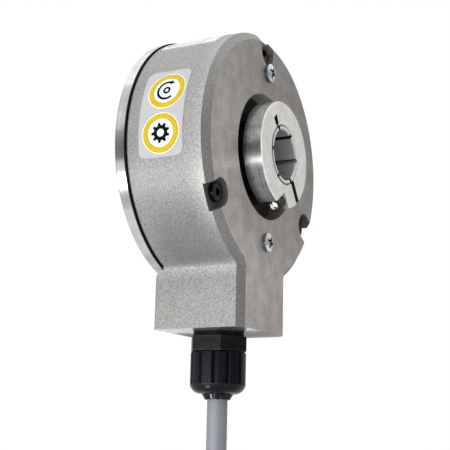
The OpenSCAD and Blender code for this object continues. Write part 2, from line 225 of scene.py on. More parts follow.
def machined_mat(name, base, metallic=0.6, rough=0.42, mott=0.10, scale=160, strength=0.08, grain=0.05, big=26,
                 painted_light_z=None, painted_light_x=None, tint=0.0):
    """Milled face that has gone dull: cloudy patches with a fine grain over them, with optional painted light and
    shade by height and from left to right.
    """
    m, nt, p = new_mat(name)
    vec = coords(nt)
    a = noise(nt, vec, scale, 4.0, 0.65)
    b = noise(nt, vec, big, 2.0, 0.5)
    f = noise(nt, vec, 1300, 2.0, 0.6)
    g = math_node(nt, "ADD", math_node(nt, "MULTIPLY", a, 0.35), math_node(nt, "MULTIPLY", b, 0.65))
    col = ramp(nt, g, [(0.40, lerp(base, 1 - mott)), (0.60, lerp(base, 1 + mott))])
    col = mixc(nt, 1.0, col, ramp(nt, f, [(0.33, (1 - grain,) * 3), (0.67, (1 + grain,) * 3)]), "MULTIPLY")
    if tint:
        h = noise(nt, vec, 75, 2.0, 0.5)
        col = mixc(nt, 1.0, col, ramp(nt, h, [(0.38, (1 - tint, 1.0, 1 - tint * 0.4)), (0.62, (1 + tint, 1 - tint * 0.3, 1.0))]), "MULTIPLY")
    # painted light and shade: the colour is scaled by height
    if painted_light_z:
        col = mixc(nt, 1.0, col, z_ramp(nt, painted_light_z), "MULTIPLY")
    # painted light and shade: the colour is scaled from left to right
    if painted_light_x:
        col = mixc(nt, 1.0, col, axis_ramp(nt, "X", painted_light_x), "MULTIPLY")
    nt.links.new(col, p.inputs["Base Color"])
    p.inputs["Metallic"].default_value = metallic
    vary_rough(nt, p, a, rough, 0.08)
    bump(nt, p, f, strength, 0.0001, bevel(nt, 0.0003))
    return m


def polar_coords(nt, axis="Y", off=(0, 0, 0)):
    """Radius, angle and distance along the axis, in metres and turns."""
    tc = nt.nodes.new("ShaderNodeTexCoord")
    mp = nt.nodes.new("ShaderNodeMapping")
    mp.inputs["Location"].default_value = tuple(-v for v in off)
    nt.links.new(tc.outputs["Object"], mp.inputs["Vector"])
    s = nt.nodes.new("ShaderNodeSeparateXYZ")
    nt.links.new(mp.outputs[0], s.inputs[0])
    x, y, z = s.outputs
    if axis == "Z":
        y, z = z, y
    r = math_node(nt, "SQRT", math_node(nt, "ADD", math_node(nt, "MULTIPLY", x, x), math_node(nt, "MULTIPLY", z, z)))
    t = math_node(nt, "DIVIDE", math_node(nt, "ARCTAN2", z, x), 2 * math.pi)
    return r, t, y


def turned_mat(name, base, metallic=1.0, rough=0.28, rings=2600.0, strength=0.12, aniso=0.6, bev=0.00025,
               streak=0.10, patch_amt=0.06, axis="Y", off=(0, 0, 0), painted_reflection_sectors=0.0, patch=230, painted_seam_shadow=False, turns=7.0, painted_light_x=None, painted_reflection_shade_x=None):
    """Turned metal: fine lines round the axis in relief, tone and roughness, stretched reflections, with optional
    painted light, shade and reflection bands.
    """
    m, nt, p = new_mat(name)
    r, t, y = polar_coords(nt, axis, off)
    c = nt.nodes.new("ShaderNodeCombineXYZ")
    nt.links.new(math_node(nt, "MULTIPLY", r, rings), c.inputs[0])
    nt.links.new(math_node(nt, "MULTIPLY", y, rings), c.inputs[1])
    nt.links.new(math_node(nt, "MULTIPLY", math_node(nt, "ABSOLUTE", t), turns), c.inputs[2])
    n = nt.nodes.new("ShaderNodeTexNoise")
    n.inputs["Scale"].default_value = 1.0
    n.inputs["Detail"].default_value = 2.0
    nt.links.new(c.outputs[0], n.inputs["Vector"])
    lines = n.outputs["Fac"]
    vec = coords(nt)
    f = noise(nt, vec, patch, 3.0, 0.6)
    col = ramp(nt, lines, [(0.33, lerp(base, 1 - streak)), (0.67, lerp(base, 1 + streak))])
    col = mixc(nt, 1.0, col, ramp(nt, f, [(0.35, (1 - patch_amt,) * 3), (0.65, (1 + patch_amt,) * 3)]), "MULTIPLY")
    # painted reflection: broad lighter and darker sectors round the axis stand in for reflected bands
    if painted_reflection_sectors:
        w = nt.nodes.new("ShaderNodeCombineXYZ")
        nt.links.new(math_node(nt, "MULTIPLY", math_node(nt, "SINE", math_node(nt, "MULTIPLY", t, 2 * math.pi)), 3.1), w.inputs[0])
        nt.links.new(math_node(nt, "MULTIPLY", math_node(nt, "COSINE", math_node(nt, "MULTIPLY", t, 2 * math.pi)), 3.1), w.inputs[1])
        q = noise(nt, w.outputs[0], 1.3, 2.0, 0.55)
        col = mixc(nt, 1.0, col, ramp(nt, q, [(0.38, (1 - painted_reflection_sectors,) * 3), (0.62, (1 + painted_reflection_sectors * 0.4,) * 3)]), "MULTIPLY")
    # painted light and shade: the colour is scaled from left to right
    if painted_light_x:
        col = mixc(nt, 1.0, col, axis_ramp(nt, "X", painted_light_x), "MULTIPLY")
    # painted shadow: a dark line along the front edge, where the seam is
    if painted_seam_shadow:
        col = mixc(nt, 1.0, col, ramp(nt, math_node(nt, "MULTIPLY", y, 20.0), [(0.7050, (0.03, 0.03, 0.03)), (0.7090, (1, 1, 1))]), "MULTIPLY")
    nt.links.new(col, p.inputs["Base Color"])
    p.inputs["Metallic"].default_value = metallic
    # painted shade on reflections: their tint is dimmed from left to right
    if painted_reflection_shade_x:
        nt.links.new(axis_ramp(nt, "X", painted_reflection_shade_x), p.inputs["Specular Tint"])
    vary_rough(nt, p, lines, rough, 0.06)
    if aniso:
        p.inputs["Anisotropic"].default_value = aniso
        if any(off):
            geo = nt.nodes.new("ShaderNodeTexCoord")
            sub = nt.nodes.new("ShaderNodeVectorMath")
            sub.operation = "SUBTRACT"
            nt.links.new(geo.outputs["Object"], sub.inputs[0])
            sub.inputs[1].default_value = off
            tan = nt.nodes.new("ShaderNodeVectorMath")
            tan.operation = "CROSS_PRODUCT"
            tan.inputs[0].default_value = {"Y": (0, 1, 0), "Z": (0, 0, 1)}[axis]
            nt.links.new(sub.outputs[0], tan.inputs[1])
            nrm = nt.nodes.new("ShaderNodeVectorMath")
            nrm.operation = "NORMALIZE"
            nt.links.new(tan.outputs[0], nrm.inputs[0])
            nt.links.new(nrm.outputs[0], p.inputs["Tangent"])
        else:
            tg = nt.nodes.new("ShaderNodeTangent")
            tg.direction_type = "RADIAL"
            tg.axis = axis
            nt.links.new(tg.outputs[0], p.inputs["Tangent"])
        p.inputs["Anisotropic Rotation"].default_value = 0.25
    bump(nt, p, lines, strength, 0.00006, bevel(nt, bev))
    return m


def metal(name, base, rough=0.25, metallic=1.0, scale=600, amount=0.06, strength=0.05, bev=0.0002):
    """Small metal part: slight stains and fine scratches."""
    m, nt, p = new_mat(name)
    vec = coords(nt)
    g = vary(nt, p, vec, base, amount, scale)
    p.inputs["Metallic"].default_value = metallic
    vary_rough(nt, p, g, rough, 0.06)
    fine = noise(nt, coords(nt, (1, 6, 1)), 1500, 2.0, 0.6)
    bump(nt, p, fine, strength, 0.00005, bevel(nt, bev))
    return m


def plastic(name, base, rough=0.4, amount=0.06, scale=700, strength=0.08, dist=0.0001, spec=0.5, trans=0.0, bev=0.0002,
            metallic=0.0, coat=0.0):
    """Moulded plastic, rubber or lacquer with a slight unevenness."""
    m, nt, p = new_mat(name)
    vec = coords(nt)
    g = vary(nt, p, vec, base, amount, scale)
    vary_rough(nt, p, g, rough, min(0.05, rough * 0.3))
    p.inputs["Specular IOR Level"].default_value = spec
    p.inputs["Transmission Weight"].default_value = trans
    p.inputs["Metallic"].default_value = metallic
    p.inputs["Coat Weight"].default_value = coat
    bump(nt, p, g, strength, dist, bevel(nt, bev) if bev else None)
    return m


def board_mat(name):
    """Solder mask over copper tracks: tracks show as slightly lighter, raised lines."""
    m, nt, p = new_mat(name)
    vec = coords(nt)
    v = nt.nodes.new("ShaderNodeTexVoronoi")
    v.feature = "DISTANCE_TO_EDGE"
    v.distance = "EUCLIDEAN"
    v.inputs["Scale"].default_value = 330
    nt.links.new(vec, v.inputs["Vector"])
    lines = ramp(nt, v.outputs["Distance"], [(0.05, (1, 1, 1)), (0.09, (0, 0, 0))])
    fine = noise(nt, vec, 900, 2.0, 0.5)
    col = mixc(nt, lines, (0.010, 0.115, 0.042, 1), (0.022, 0.20, 0.07, 1))
    col = mixc(nt, 1.0, col, ramp(nt, fine, [(0.3, (0.92,) * 3), (0.7, (1.06,) * 3)]), "MULTIPLY")
    nt.links.new(col, p.inputs["Base Color"])
    p.inputs["Roughness"].default_value = 0.33
    bump(nt, p, lines, 0.3, 0.00004)
    return m


def braid_mat(name):
    """Tinned braid: two sets of crossing strands."""
    m, nt, p = new_mat(name)
    r, t, z = polar_coords(nt, "Z", (0, 0.02, 0))
    a = math_node(nt, "SINE", math_node(nt, "ADD", math_node(nt, "MULTIPLY", t, 2 * math.pi * 24), math_node(nt, "MULTIPLY", z, 9000)))
    b = math_node(nt, "SINE", math_node(nt, "SUBTRACT", math_node(nt, "MULTIPLY", t, 2 * math.pi * 24), math_node(nt, "MULTIPLY", z, 9000)))
    w = math_node(nt, "MULTIPLY_ADD", math_node(nt, "MULTIPLY", a, b), 0.5, 0.5)
    nt.links.new(ramp(nt, w, [(0.2, (0.30, 0.28, 0.24)), (0.8, (0.66, 0.64, 0.58))]), p.inputs["Base Color"])
    p.inputs["Metallic"].default_value = 1.0
    p.inputs["Roughness"].default_value = 0.42
    bump(nt, p, w, 0.6, 0.0001)
    return m


M = {}
# painted light: the casting is painted darker towards the top, with the painted marks on the barrel and its front
# strip
M["cast"] = cast_mat("cast_grain", (0.318, 0.315, 0.309), edge=0.26, barrel=True, painted_light_z=[(-0.07, 1.0), (0.039, 1.0), (0.046, 0.88), (0.0505, 0.80)])
# painted light: the chamfer is painted darker at the very bottom and brighter towards the top
M["chamfer"] = cast_mat("cast_edge", (0.235, 0.233, 0.228), contrast=0.30, strength=0.4, painted_light_z=[(-0.07, 0.92), (-0.05, 0.92), (-0.04, 1.14), (-0.02, 1.0), (0.0, 1.0), (0.03, 1.34), (0.04, 1.34), (0.05, 1.30)])
# painted light: the face is painted brighter low down and on the left, darker at the top and on the right
M["face"] = machined_mat("machined_face", (0.485, 0.452, 0.426), mott=0.12, scale=420, big=150, grain=0.12, tint=0.018, painted_light_z=[(-0.07, 1.20), (-0.055, 1.32), (-0.045, 1.34), (-0.033, 1.17), (0.0, 1.0), (0.045, 0.83)], painted_light_x=[(-0.045, 1.22), (-0.03, 1.15), (0.0, 1.0), (0.045, 0.82)])
# painted shade: the underside is painted darker from the gland to the right, with its reflections dimmed there as well
M["under"] = turned_mat("machined_under", (0.80, 0.79, 0.78), metallic=1.0, rough=0.20, rings=900, strength=0.3, aniso=0.85, streak=0.30, axis="Z", off=(0, 0.02, 0), turns=2.0, painted_light_x=[(-0.020, 1.15), (-0.008, 1.0), (0.0, 0.42), (0.010, 0.34), (0.0165, 0.46), (0.020, 0.75)],
                        painted_reflection_shade_x=[(-0.020, 1.0), (-0.008, 1.0), (0.0, 0.5), (0.010, 0.4), (0.0165, 0.6), (0.020, 1.0)])
# painted shade: the recess wall is painted darker on the left and towards the bottom
M["recess"] = machined_mat("recess_wall", (0.88, 0.81, 0.75), metallic=0.4, rough=0.5, mott=0.2, big=90, painted_light_x=[(-0.022, 0.15), (-0.008, 0.7), (0.004, 1.0), (0.012, 1.1)], painted_light_z=[(-0.026, 0.30), (-0.015, 0.45), (0.0, 0.8), (0.020, 1.1)])
# painted shade: the floor deep in the recess is painted near black
M["recess_floor_shade"] = machined_mat("recess_floor_shade", (0.014, 0.013, 0.012), metallic=0.0, rough=0.7)
# painted shade: the pockets are painted dark, the one at 330 degrees darker still
M["pocket_shade"] = cast_mat("pocket_floor_shade", (0.150, 0.140, 0.132), contrast=0.3, strength=0.4, metallic=0.4)
M["pocket_deep_shade"] = cast_mat("pocket_shaded", (0.070, 0.065, 0.061), contrast=0.3, strength=0.4, metallic=0.3)
M["inside"] = cast_mat("cast_inside", (0.33, 0.33, 0.32), contrast=0.2)
# painted shadow in the seam along its front edge, painted reflection sectors round the rim
M["cover"] = turned_mat("cover_turned", (0.72, 0.72, 0.72), rough=0.20, streak=0.07, painted_reflection_sectors=0.34, painted_seam_shadow=True)
M["cover_back"] = turned_mat("cover_back", (0.74, 0.74, 0.73), rough=0.30, strength=0.3, streak=0.10)
M["rubber"] = plastic("rubber_black", (0.002, 0.002, 0.002), rough=0.6, amount=0.25, scale=900, strength=0.15, spec=0.12)
M["nylon"] = plastic("nylon_black", (0.003, 0.003, 0.007), spec=0.3, rough=0.12, amount=0.3, scale=800, strength=0.06, dist=0.00008, bev=0.0004)
M["nylon_hex"] = plastic("nylon_body", (0.005, 0.005, 0.008), spec=0.4, rough=0.24, amount=0.3, scale=800, strength=0.08, dist=0.00008, bev=0.0004)
M["black_screw"] = metal("black_oxide", (0.005, 0.005, 0.006), metallic=0.5, rough=0.16, amount=0.3, bev=0.0004)
M["zinc"] = metal("zinc_blue", (0.88, 0.92, 0.96), rough=0.16, metallic=0.72, bev=0.0003)
# painted shade: the cross recess and the side of each screw head are painted dark
M["zinc_cross_shade"] = metal("zinc_recess_shade", (0.07, 0.08, 0.10), rough=0.25, metallic=0.8, bev=0.0001)
M["zinc_side_shade"] = metal("zinc_side_shade", (0.20, 0.22, 0.25), rough=0.2, bev=0.0003)
M["steel"] = metal("steel_ground", (0.62, 0.62, 0.63), rough=0.25)
M["screw"] = metal("steel_dark", (0.045, 0.043, 0.040), rough=0.14, metallic=0.8, bev=0.0004, amount=0.2)
M["screw_rim"] = metal("steel_rim", (0.5, 0.5, 0.5), rough=0.2, bev=0.0002, amount=0.1)
# painted glints: a white material for the clamp screw's socket
M["screw_hex_glint"] = metal("steel_hex_glint", (1.0, 1.0, 0.99), rough=0.3, metallic=0.35, bev=0.0002, amount=0.05)
M["shaft"] = turned_mat("shaft_bore", (0.56, 0.555, 0.58), metallic=0.7, rough=0.40, strength=0.05, aniso=0.3, streak=0.05)
# painted shade: the shaft inside the bore and the walls of the slots are painted near black
M["shaft_shade"] = machined_mat("shaft_deep_shade", (0.02, 0.02, 0.02), metallic=0.3, rough=0.5)
M["slot_shade"] = machined_mat("slot_shade", (0.008, 0.008, 0.008), metallic=0.0, rough=0.8, grain=0.1)
M["ring_face"] = machined_mat("ring_face", (1.0, 0.953, 0.90), metallic=0.05, rough=0.42, mott=0.09, scale=500, big=160, grain=0.08, tint=0.012)
M["ring_side"] = turned_mat("ring_side", (0.50, 0.505, 0.52), rough=0.27, strength=0.18, rings=2300, aniso=0.8, streak=0.10, patch_amt=0.20, patch=420)
M["ring_slot"] = machined_mat("ring_slot", (0.50, 0.465, 0.43), metallic=0.5, rough=0.42, mott=0.2, scale=500)
# painted shade: the chamfer at the shaft end is painted dark
M["shaft_edge_shade"] = machined_mat("shaft_edge_shade", (0.20, 0.19, 0.18), metallic=0.5, rough=0.4, mott=0.2, scale=500)
M["alu"] = turned_mat("alu_turned", (0.75, 0.75, 0.75), rough=0.3)
M["brass"] = metal("brass", (0.72, 0.50, 0.18), rough=0.28)
M["pcb"] = board_mat("solder_mask")
M["chip"] = plastic("chip_epoxy", (0.018, 0.018, 0.02), rough=0.5, amount=0.2, scale=1500)
M["can"] = metal("capacitor_can", (0.70, 0.71, 0.73), metallic=0.9, rough=0.3)
M["white_p"] = plastic("white_nylon", (0.80, 0.78, 0.70), rough=0.45, amount=0.04)
M["glass"] = plastic("glass_clear", (0.85, 0.93, 0.95), rough=0.02, trans=1.0, amount=0.02, strength=0.0, bev=0.0)
M["led"] = plastic("led_body", (0.55, 0.03, 0.03), rough=0.1, trans=0.6, strength=0.0, bev=0.0)
M["cable"] = plastic("cable_pvc", srgb(137, 140, 147), rough=0.42, amount=0.03, scale=420, strength=0.06)
M["braid"] = braid_mat("braid_tin")
M["tinned"] = metal("tinned_copper", (0.66, 0.63, 0.57), rough=0.35)
M["copper"] = metal("copper", (0.85, 0.42, 0.22), rough=0.3)
for key, c in {"brown": (0.12, 0.045, 0.02), "green": (0.02, 0.28, 0.07), "white": (0.8, 0.8, 0.8),
               "yellow": (0.8, 0.6, 0.03), "red": (0.55, 0.02, 0.02)}.items():
    M["core_" + key] = plastic("core_" + key, c, rough=0.35, amount=0.05)
M["label"] = plastic("label_film", srgb(187, 188, 192), rough=0.42, amount=0.025, scale=160, strength=0.02, bev=0.0)
M["foil"] = plastic("label_foil", (0.86, 0.87, 0.89), rough=0.30, amount=0.03, scale=160, strength=0.02, bev=0.0, metallic=0.6)
M["foil_line"] = plastic("label_foil_line", (0.03, 0.03, 0.03), rough=0.4, amount=0.05, bev=0.0)
M["label_white"] = plastic("label_white", (0.93, 0.94, 0.95), rough=0.45, amount=0.02, scale=300, strength=0.02, bev=0.0)
M["label_yellow"] = plastic("label_yellow", (0.665, 0.462, 0.001), rough=0.45, spec=0.3, amount=0.03, scale=300, strength=0.02, bev=0.0)
M["label_pale"] = plastic("label_pale", (0.95, 0.92, 0.66), rough=0.45, amount=0.02, scale=300, strength=0.02, bev=0.0)
M["label_ink"] = plastic("label_ink", (0.003, 0.003, 0.003), rough=0.75, spec=0.08, amount=0.1, scale=900, strength=0.02, bev=0.0)

def nut_mat(name):
    """Fluted nylon nut: satin rubbed ribs, dark glossy flutes."""
    m, nt, p = new_mat(name)
    vec = coords(nt)
    r, t, z = polar_coords(nt, "Z", (0, 0.02, 0))
    g = noise(nt, vec, 900, 3.0, 0.6)
    rib = ramp(nt, math_node(nt, "MULTIPLY", r, 80.0), [(0.838, (0.0, 0.0, 0.0)), (0.862, (1, 1, 1))])
    low = z_ramp(nt, [(-0.1110, 0.0), (-0.1060, 0.0), (-0.1045, 1.0), (-0.080, 1.0)])
    k = mixc(nt, 1.0, rib, low, "MULTIPLY")
    base = ramp(nt, g, [(0.35, (0.003, 0.003, 0.0055)), (0.65, (0.007, 0.007, 0.011))])
    nt.links.new(mixc(nt, k, (0.002, 0.002, 0.004, 1), base), p.inputs["Base Color"])
    nt.links.new(ramp(nt, k, [(0.0, (0.10,) * 3), (1.0, (0.24,) * 3)]), p.inputs["Roughness"])
    p.inputs["Specular IOR Level"].default_value = 0.5
    p.inputs["IOR"].default_value = 1.32
    bump(nt, p, g, 0.12, 0.00006, bevel(nt, 0.0003))
    return m


M["nut"] = nut_mat("nylon_nut")

NODE_MAT = {
    "rear_cover": "cover", "cover_gasket": "rubber", "cover_screws": "black_screw", "torque_arm_screws": "zinc",
    "front_seal": "rubber", "rear_seal": "rubber", "front_bearing_outer_race": "steel",
    "rear_bearing_outer_race": "steel", "front_bearing_shields": "steel", "rear_bearing_shields": "steel",
    "bearing_outer_spacer": "alu", "wave_spring": "steel", "bearing_circlip": "black_screw",
    "reader_frame": "chip", "reader_led": "led", "reader_lens": "glass", "reader_mask": "glass",
    "sensor_board": "pcb", "sensor_chip": "chip", "sensor_pins": "brass", "reader_screws": "steel",
    "reader_nuts": "steel", "main_board": "pcb", "board_chips": "chip", "board_capacitors": "can",
    "board_connector": "white_p", "board_standoffs": "brass", "board_screws": "steel", "wire_plug": "white_p",
    "wire_brown": "core_brown", "wire_green": "core_green", "wire_white": "core_white",
    "wire_yellow": "core_yellow", "wire_red": "core_red", "cable_shield": "braid", "cable_jacket": "cable",
    "gland_body": "nylon_hex", "gland_o_ring": "rubber", "gland_seal": "rubber", "gland_claw_cage": "nylon",
    "type_label": "foil", "instruction_label": "label", "hollow_shaft": "shaft",
    "front_bearing_inner_race": "steel", "rear_bearing_inner_race": "steel", "bearing_inner_spacer": "alu",
    "disc_hub": "alu", "code_disc": "glass", "disc_clamp_plate": "alu", "disc_screws": "steel",
    "shaft_circlip": "black_screw", "clamp_screw": "screw", "front_bearing_balls": "steel",
    "front_bearing_cage": "brass", "rear_bearing_balls": "steel", "rear_bearing_cage": "brass",
    "gland_nut": "nut"}


def set_mats(ob, keys, pick=None):
    ob.data.materials.clear()
    for k in keys:
        ob.data.materials.append(M[k])
    if pick:
        for poly in ob.data.polygons:
            c, n = poly.center / MM, poly.normal
            poly.material_index = keys.index(pick(c, n))


for name, key in NODE_MAT.items():
    set_mats(N[name], [key])


def pick_housing(c, n):
    r = math.hypot(c.x, c.z)
    leg = c.z < -49.6 or (c.z < -43 and abs(c.x) < 21)
    if n.y < -0.98 and abs(c.y) < 0.05:
        return "face"
    if n.z < -0.98 and c.z < -69.5 and c.z > -70.5:
        return "under"
    # the pockets take the painted shade
    for a, pc, pr, pd in ((90.6, 43.8, 5.4, 3.7), (211, 44, 5.4, 3.7), (330, 43, 5.6, 4.9)):
        t = math.radians(a)
        u = c.x * math.cos(t) + c.z * math.sin(t)
        v = -c.x * math.sin(t) + c.z * math.cos(t)
        if u > pc - pr - 0.1 and abs(v) < pr + 0.1 and 0 < c.y < pd + 0.1 and not (r > 49.8 and abs(n.y) < 0.2 and n.x * c.x + n.z * c.z > 0.9 * r):
            return "pocket_deep_shade" if a == 330 else "pocket_shade"
    if 24.5 < r < 25.7 and c.y < 7.1 and abs(n.y) < 0.2:
        return "recess"
    # painted shade deep in the recess
    if r < 25.6 and c.y < 12:
        return "recess_floor_shade"
    if c.y < 2.6 and n.y < -0.2 and (r > 46 or leg):
        return "chamfer"
    if (r > 45.6 and c.y < 34.3) or leg:
        if 5 < c.y < 33.4 and (abs(c.x) < 15.6 and -65.1 < c.z < -40 and abs(n.z) + abs(n.x) + abs(n.y) > 0):
            if abs(abs(c.x) - 15.5) < 0.05 or abs(c.z + 65) < 0.05 or abs(c.y - 7.6) < 0.05 or abs(c.y - 31) < 0.05:
                return "inside"
        return "cast"
    return "inside"


set_mats(N["housing"], ["cast", "chamfer", "face", "under", "recess", "recess_floor_shade", "pocket_shade", "pocket_deep_shade", "inside"], pick_housing)
set_mats(N["rear_cover"], ["cover", "cover_back"], lambda c, n: "cover_back" if n.y > 0.95 else "cover")


def pick_ring(c, n):
    r = math.hypot(c.x, c.z)
    if n.y < -0.5 and c.y < -7.4:
        return "ring_face"
    s = math.radians(305.5)
    lx, lz = c.x * math.cos(s) + c.z * math.sin(s), -c.x * math.sin(s) + c.z * math.cos(s)
    # painted shade on the walls of the slits
    if abs(n.y) < 0.4 and ((lx > 0 and -1.25 < lz < 1.9 and r < 21.2) or (lx < -10.5 and -1.4 < lz < 2.05 and r < 17.3)):
        return "slot_shade"
    if r > 21 and abs(n.y) < 0.3 and (n.x * c.x + n.z * c.z) / max(r, 1e-6) > 0.9:
        return "ring_side"
    return "ring_slot"


def pick_shaft(c, n):
    r = math.hypot(c.x, c.z)
    if n.y < -0.95 and c.y < -7:
        return "ring_face"
    # painted shade on the chamfer at the shaft end
    if c.y < -7.2 and r > 11.4:
        return "shaft_edge_shade"
    # painted shade on the slot walls and on the shaft inside the bore
    if c.y < 2.6 and 10 < r < 12.1 and abs(n.x * c.x + n.z * c.z) < 0.5 * r:
        return "slot_shade"
    if -7 < c.y < 12 and r > 11.9:
        return "shaft_shade"
    return "shaft"


def pick_arm_screw(c, n):
    q = math.hypot(c.x, abs(c.z) - 35)
    on_dome = abs(math.hypot(q, c.y - 5.7) - 8.2) < 0.12
    # painted shade in the cross recess and on the head's side
    if q < 2.6 and c.y < 0 and not on_dome:
        return "zinc_cross_shade"
    return "zinc_side_shade" if q > 3.6 else "zinc"


def pick_clamp_screw(c, n):
    s = math.radians(305.5)
    lx, lz = c.x * math.cos(s) + c.z * math.sin(s), -c.x * math.sin(s) + c.z * math.cos(s)
    q = math.hypot(lx - 16.1, c.y + 4)
    if q > 1.8 or lz > -10:
        return "screw"
    # painted glints: the socket floor and every other socket wall take the white material
    if abs(n.x * math.cos(s + math.pi / 2) + n.z * math.sin(s + math.pi / 2)) > 0.5:
        return "screw_hex_glint"
    return "screw_hex_glint" if math.floor((math.degrees(math.atan2(c.y + 4, lx - 16.1)) + 360) / 60 + 0.5) % 2 else "screw"


set_mats(N["clamp_ring"], ["ring_face", "ring_side", "ring_slot", "slot_shade"], pick_ring)
set_mats(N["hollow_shaft"], ["shaft", "ring_face", "slot_shade", "shaft_shade", "shaft_edge_shade"], pick_shaft)
set_mats(N["torque_arm_screws"], ["zinc", "zinc_cross_shade", "zinc_side_shade"], pick_arm_screw)
set_mats(N["clamp_screw"], ["screw", "screw_hex_glint"], pick_clamp_screw)
for name in ("torque_arm_screws", "clamp_screw"):
    # no sharp light spots thrown on to the dull faces round the bright heads
    N[name].visible_diffuse = False


# ---------------------------------------------------------------- helpers for pieces
def mesh_obj(name, verts, faces, mat, body, smooth=True):
    me = bpy.data.meshes.new(name)
    me.from_pydata([tuple(v) for v in verts], [], faces)
    me.validate()
    me.update()
    ob = bpy.data.objects.new(name, me)
    scene.collection.objects.link(ob)
    me.materials.append(M[mat])
    if smooth:
        me.polygons.foreach_set("use_smooth", [True] * len(me.polygons))
    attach(ob, body)
    return ob


def wrap(s, y, theta0, r):
    """A point s mm round the barrel from angle theta0 and y mm along it, at radius r mm."""
    t = math.radians(theta0) + s / 50.0
    return Vector((r * math.cos(t), y, r * math.sin(t))) * MM


def patch(outline, centre, rings):
    """Star-shaped outline filled by scaled copies of itself, as (points, faces)."""
    n = len(outline)
    pts = [centre]
    for k in range(1, rings + 1):
        f = k / rings
        pts += [(centre[0] + (p[0] - centre[0]) * f, centre[1] + (p[1] - centre[1]) * f) for p in outline]
    faces = [(0, 1 + i, 1 + (i + 1) % n) for i in range(n)]
    for k in range(rings - 1):
        a, b = 1 + k * n, 1 + (k + 1) * n
        faces += [(a + i, b + i, b + (i + 1) % n, a + (i + 1) % n) for i in range(n)]
    return pts, faces


def annulus(c, r0, r1, n=96):
    pts, faces = [], []
    for k, r in enumerate((r0, (r0 + r1) / 2, r1)):
        pts += [(c[0] + r * math.cos(2 * math.pi * i / n), c[1] + r * math.sin(2 * math.pi * i / n)) for i in range(n)]
    for k in range(2):
        faces += [(k * n + i, (k + 1) * n + i, (k + 1) * n + (i + 1) % n, k * n + (i + 1) % n) for i in range(n)]
    return pts, faces


def circle(c, r, n=64):
    return [(c[0] + r * math.cos(2 * math.pi * i / n), c[1] + r * math.sin(2 * math.pi * i / n)) for i in range(n)]


def round_rect(c, w, h, r, n=8):
    pts = []
    for cx, cy, a0 in ((w / 2 - r, h / 2 - r, 0), (-w / 2 + r, h / 2 - r, 90), (-w / 2 + r, -h / 2 + r, 180), (w / 2 - r, -h / 2 + r, 270)):
        pts += [(c[0] + cx + r * math.cos(math.radians(a0 + 90 * k / n)), c[1] + cy + r * math.sin(math.radians(a0 + 90 * k / n))) for k in range(n + 1)]
    dense = []
    for i, p in enumerate(pts):
        q = pts[(i + 1) % len(pts)]
        m = max(1, int(math.dist(p, q) / 0.8))
        dense += [(p[0] + (q[0] - p[0]) * k / m, p[1] + (q[1] - p[1]) * k / m) for k in range(m)]
    return dense


def stroke(p, q, w, n=16):
    """A straight pen stroke with square ends, cut into short pieces so that it follows the curve."""
    d = Vector((q[0] - p[0], q[1] - p[1]))
    L = d.length
    d /= L
    nx, ny = -d.y * w / 2, d.x * w / 2
    m = max(2, int(L / 0.6))
    pts = []
    for k in range(m + 1):
        x, y = p[0] + d.x * L * k / m, p[1] + d.y * L * k / m
        pts += [(x + nx, y + ny), (x - nx, y - ny)]
    return pts, [(2 * k, 2 * k + 1, 2 * k + 3, 2 * k + 2) for k in range(m)]


def decal(name, shapes, theta0, r, mat, body="housing_body", thick=0.012):
    verts, faces = [], []
    for pts, fs in shapes:
        o = len(verts)
        verts += [wrap(p[0], p[1], theta0, r) for p in pts]
        faces += [tuple(o + i for i in f) for f in fs]
    ob = mesh_obj(name, verts, faces, mat, body)
    me = ob.data
    out = sum(1 if p.normal.dot(Vector((p.center.x, 0, p.center.z))) > 0 else -1 for p in me.polygons)
    if out < 0:
        me.flip_normals()
    sol = ob.modifiers.new("thickness", "SOLIDIFY")
    sol.thickness = thick * MM
    sol.offset = -1.0
    return ob


# ---------------------------------------------------------------- labels
T0 = 171.0
S = lambda deg: math.radians(deg - T0) * 50.0
base = decal("instruction_label_film", [patch(round_rect((0, 19.5), 36.6, 19.0, 3.0), (0, 19.5), 24)], T0, 50.10, "label", thick=0.08)
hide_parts("instruction_label")
c1, c2 = (S(161.5), 18.8), (S(181.4), 19.4)


def arc(c, r, a0, a1, w, n=40):
    """A ring segment from a0 to a1 degrees."""
    pts = []
    for k in range(n + 1):
        a = math.radians(a0 + (a1 - a0) * k / n)
        pts += [(c[0] + (r - w / 2) * math.cos(a), c[1] + (r - w / 2) * math.sin(a)), (c[0] + (r + w / 2) * math.cos(a), c[1] + (r + w / 2) * math.sin(a))]
    return pts, [(2 * k, 2 * k + 1, 2 * k + 3, 2 * k + 2) for k in range(n)]


def arrow_head(c, r, a, size, sense):
    """A small triangle at the end of an arc, pointing along it."""
    t = math.radians(a)
    p = Vector((c[0] + r * math.cos(t), c[1] + r * math.sin(t)))
    d = Vector((-math.sin(t), math.cos(t))) * sense
    o = Vector((math.cos(t), math.sin(t)))
    pts = [p + d * size * 1.3, p + o * size * 0.75, p - o * size * 0.75]
    return [tuple(v) for v in pts], [(0, 1, 2)]


def cog(c, r0, r1, r2, teeth):
    """A toothed wheel with a round hole of radius r0."""
    n = teeth * 8
    rad = [r2 if (k % 8) < 4 else r1 for k in range(n)]
    pts = [(c[0] + r0 * math.cos(2 * math.pi * k / n), c[1] + r0 * math.sin(2 * math.pi * k / n)) for k in range(n)]
    pts += [(c[0] + rad[k] * math.cos(2 * math.pi * k / n), c[1] + rad[k] * math.sin(2 * math.pi * k / n)) for k in range(n)]
    return pts, [(k, n + k, n + (k + 1) % n, (k + 1) % n) for k in range(n)]


pale, white, yellow, ink = [], [], [], []
for c in (c1, c2):
    pale.append(annulus(c, 7.3, 7.95))
    white.append(patch(circle(c, 5.6, 96), c, 10))
    yellow.append(annulus(c, 5.45, 7.5))
